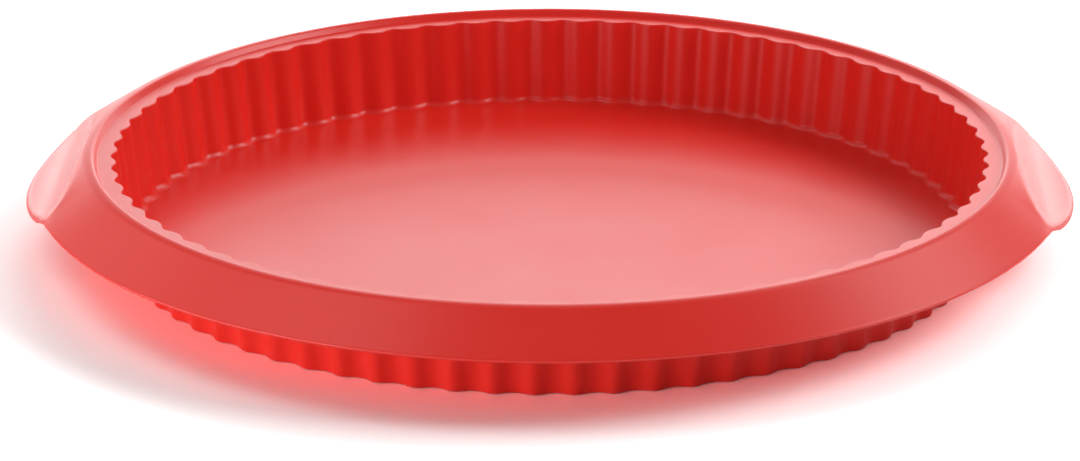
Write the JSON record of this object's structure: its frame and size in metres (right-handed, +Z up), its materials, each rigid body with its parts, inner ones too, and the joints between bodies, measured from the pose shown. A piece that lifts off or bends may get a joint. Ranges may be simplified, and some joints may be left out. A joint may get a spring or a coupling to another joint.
{
  "type": "silicone quiche mould",
  "caption": "Round, shallow baking mould in one piece of flexible silicone, with an upright fluted wall, a stepped rim, a sloping outer skirt and a grip tab on each side.",
  "frame": {"origin": "middle of the base, at the level of the table it stands on", "axes": "+X through the middle of one grip tab, +Y across the mould, +Z up"},
  "size_m": [0.3366, 0.3298, 0.0324],
  "materials": {
    "silicone": "satin"
  },
  "bodies": {
    "root": {"mould": "silicone"}
  },
  "joints": []
}
